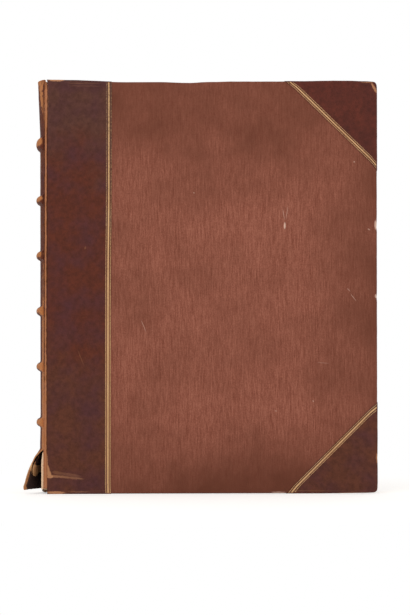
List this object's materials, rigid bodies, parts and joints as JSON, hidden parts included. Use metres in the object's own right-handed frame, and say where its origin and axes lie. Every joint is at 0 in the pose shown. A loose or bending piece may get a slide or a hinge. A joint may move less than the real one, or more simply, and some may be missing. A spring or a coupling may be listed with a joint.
{
  "type": "antique leather book",
  "caption": "Large old half-leather book: rounded spine with raised bands and a torn tail, leather corners, ribbed cloth sides and gilt fillets; both covers open.",
  "frame": {"origin": "on the surface the book stands on, under the middle of its box, with the book upright on the tail edges of its covers", "axes": "+X from the spine to the fore-edge, +Y from the front cover to the back cover, +Z from tail to head"},
  "size_m": [0.2824, 0.0418, 0.33],
  "materials": {
    "leather": "worn dark brown calf, tan where rubbed",
    "cloth": "matt ribbed book cloth, faded red-brown",
    "gold_leaf": "dull tooled gold leaf",
    "board": "matt rope-fibre board",
    "leaves": "matt aged rag paper",
    "endpaper": "matt aged laid paper",
    "lining_paper": "matt, stained with old glue",
    "endband_silk": "faded thread",
    "hemp_cord": "matt twisted hemp"
  },
  "bodies": {
    "text_block": {"text_block": "leaves", "front_free_endpaper": "endpaper", "back_free_endpaper": "endpaper", "spine_leather": "leather", "spine_lining": "lining_paper", "head_endband": "endband_silk", "tail_endband": "endband_silk", "sewing_cord_1": "hemp_cord", "sewing_cord_2": "hemp_cord", "sewing_cord_3": "hemp_cord", "sewing_cord_4": "hemp_cord", "sewing_cord_5": "hemp_cord", "sewing_cord_6": "hemp_cord"},
    "front_cover": {"front_board": "board", "front_lacing_slips": "hemp_cord", "front_cloth_side": "cloth", "front_spine_side_leather": "leather", "front_spine_side_gilt_fillet": "gold_leaf", "front_pastedown": "endpaper", "front_head_corner_leather": "leather", "front_head_corner_gilt_fillet": "gold_leaf", "front_tail_corner_leather": "leather", "front_tail_corner_gilt_fillet": "gold_leaf"},
    "back_cover": {"back_board": "board", "back_lacing_slips": "hemp_cord", "back_cloth_side": "cloth", "back_spine_side_leather": "leather", "back_spine_side_gilt_fillet": "gold_leaf", "back_pastedown": "endpaper", "back_head_corner_leather": "leather", "back_head_corner_gilt_fillet": "gold_leaf", "back_tail_corner_leather": "leather", "back_tail_corner_gilt_fillet": "gold_leaf"}
  },
  "joints": [
    {"name": "front_cover_hinge", "type": "hinge", "parent": "text_block", "child": "front_cover", "pos_m": [-0.12282, -0.02105, 0.165], "axis": [0, 0, -1], "range_deg": [0, 180]},
    {"name": "back_cover_hinge", "type": "hinge", "parent": "text_block", "child": "back_cover", "pos_m": [-0.12282, 0.02105, 0.165], "axis": [0, 0, 1], "range_deg": [0, 180]}
  ]
}
